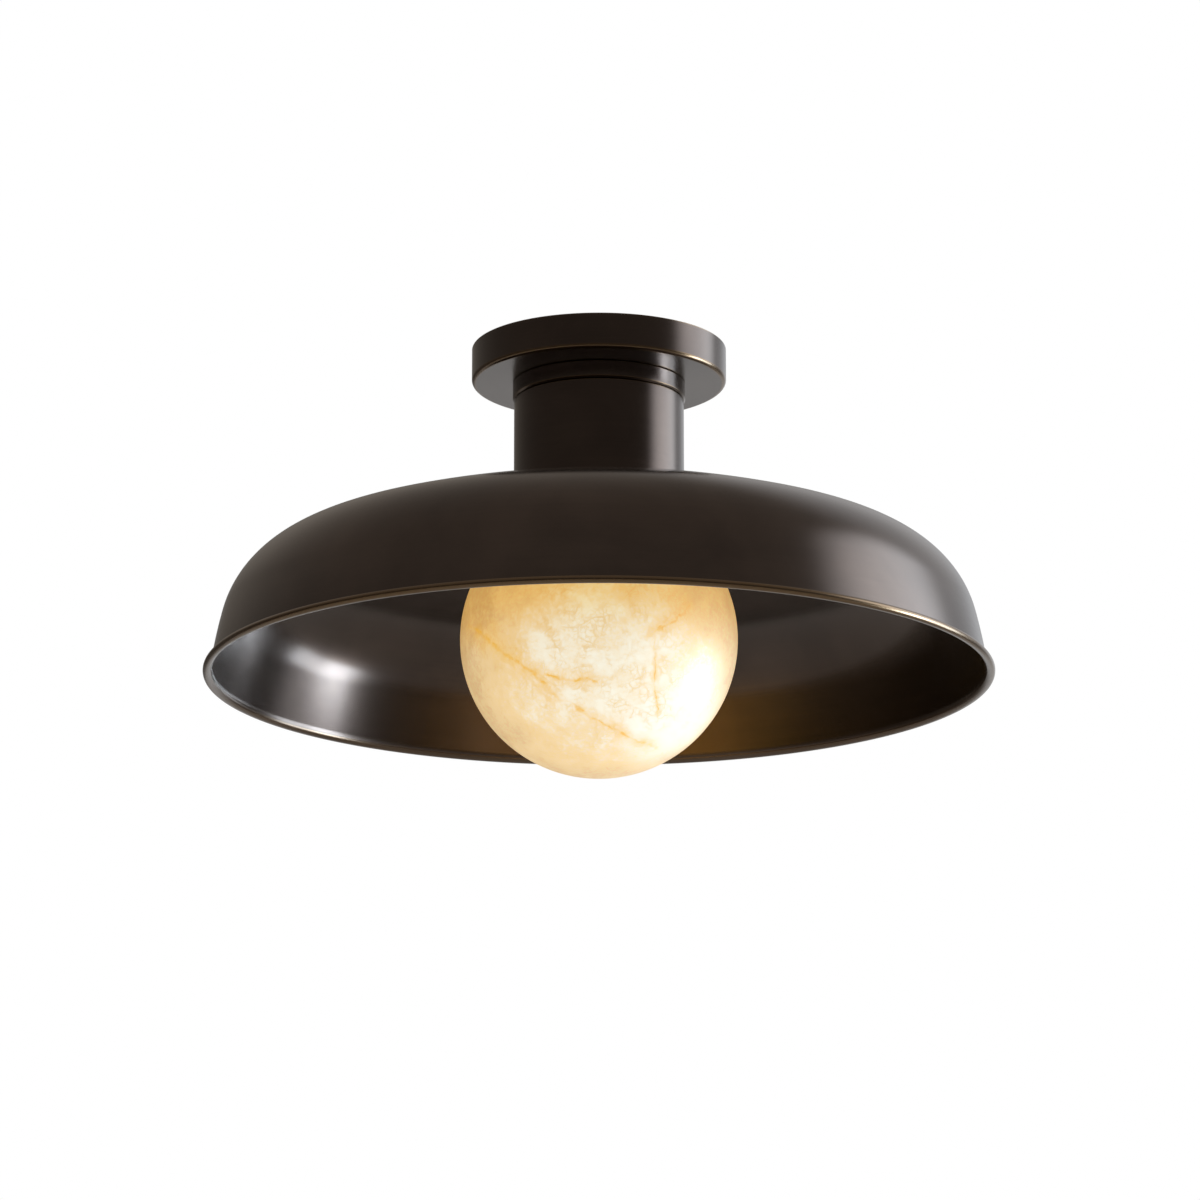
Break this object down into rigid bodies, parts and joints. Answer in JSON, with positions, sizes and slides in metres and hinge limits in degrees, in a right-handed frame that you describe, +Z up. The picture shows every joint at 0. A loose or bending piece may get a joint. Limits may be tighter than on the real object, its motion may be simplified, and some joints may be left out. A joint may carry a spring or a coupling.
{
  "type": "semi-flush ceiling light",
  "caption": "Semi-flush ceiling light: spun dome shade on a straight neck with a screw ring, a round canopy, and a veined stone globe round a screw-in bulb.",
  "frame": {"origin": "middle of the crossbar's upper face, in the ceiling plane that the canopy's rim also touches", "axes": "+Z up into the ceiling along the light's own axis, +X along the crossbar, -Y towards the viewer"},
  "size_m": [0.4064, 0.4064, 0.2272],
  "materials": {
    "patinated_bronze": "brushed and patinated dark bronze, satin lacquer",
    "blackened_steel": "turned steel, blackened",
    "zinc_steel": "zinc plated sheet steel",
    "screw_zinc": "zinc plated screws",
    "green_screw": "green plated ground screw",
    "brass_turned": "turned brass, plain",
    "porcelain": "glazed electrical porcelain",
    "lead_black": "black wire insulation",
    "lead_white": "white wire insulation",
    "lead_green": "green wire insulation",
    "connector_shell": "moulded wire connector",
    "alabaster": "turned and polished veined alabaster",
    "felt_gasket": "soft silicone washer",
    "frosted_glass": "frosted bulb glass",
    "bulb_aluminium": "rolled aluminium bulb cap",
    "vitrite": "black glass insulator of the bulb cap",
    "solder": "tinned contact"
  },
  "bodies": {
    "hanger": {"crossbar": "zinc_steel", "ground_screw": "green_screw", "hanger_spacers": "zinc_steel", "hanger_screws": "screw_zinc", "hanger_boss": "blackened_steel"},
    "head": {"canopy": "patinated_bronze", "neck_head": "blackened_steel", "neck_tube": "patinated_bronze", "neck_base": "blackened_steel", "shade": "patinated_bronze", "globe_fitter": "blackened_steel", "shade_screws": "screw_zinc", "lamp_bridge": "zinc_steel", "bridge_screws": "screw_zinc", "nipple": "brass_turned", "nipple_nuts": "brass_turned", "ground_tag": "brass_turned", "holder_cap": "brass_turned", "holder_body": "porcelain", "screw_shell": "brass_turned", "centre_contact": "brass_turned", "terminal_screws": "screw_zinc", "black_lead": "lead_black", "white_lead": "lead_white", "ground_lead": "lead_green", "wire_connectors": "connector_shell"},
    "ring": {"coupling_ring": "patinated_bronze"},
    "ball": {"globe": "alabaster", "globe_collar": "blackened_steel", "globe_gasket": "felt_gasket"},
    "bulb": {"bulb_envelope": "frosted_glass", "bulb_cap": "bulb_aluminium", "bulb_insulator": "vitrite", "bulb_contact": "solder"}
  },
  "joints": [
    {"name": "ring_turn", "type": "hinge", "parent": "head", "child": "ring", "pos_m": [0, 0, 0], "axis": [0, 0, -1], "range_deg": [0, 1620]},
    {"name": "head_drop", "type": "slide", "parent": "hanger", "child": "head", "axis": [0, 0, -1], "range_m": [0, 0.0045]},
    {"name": "globe_drop", "type": "slide", "parent": "head", "child": "ball", "axis": [0, 0, -1], "range_m": [0, 0.11]},
    {"name": "bulb_drop", "type": "slide", "parent": "head", "child": "bulb", "axis": [0, 0, -1], "range_m": [0, 0.028]}
  ],
  "couplings": [
    {"joint": "ring_turn", "follows": "head_drop", "rad_per_m": 6283.2}
  ]
}
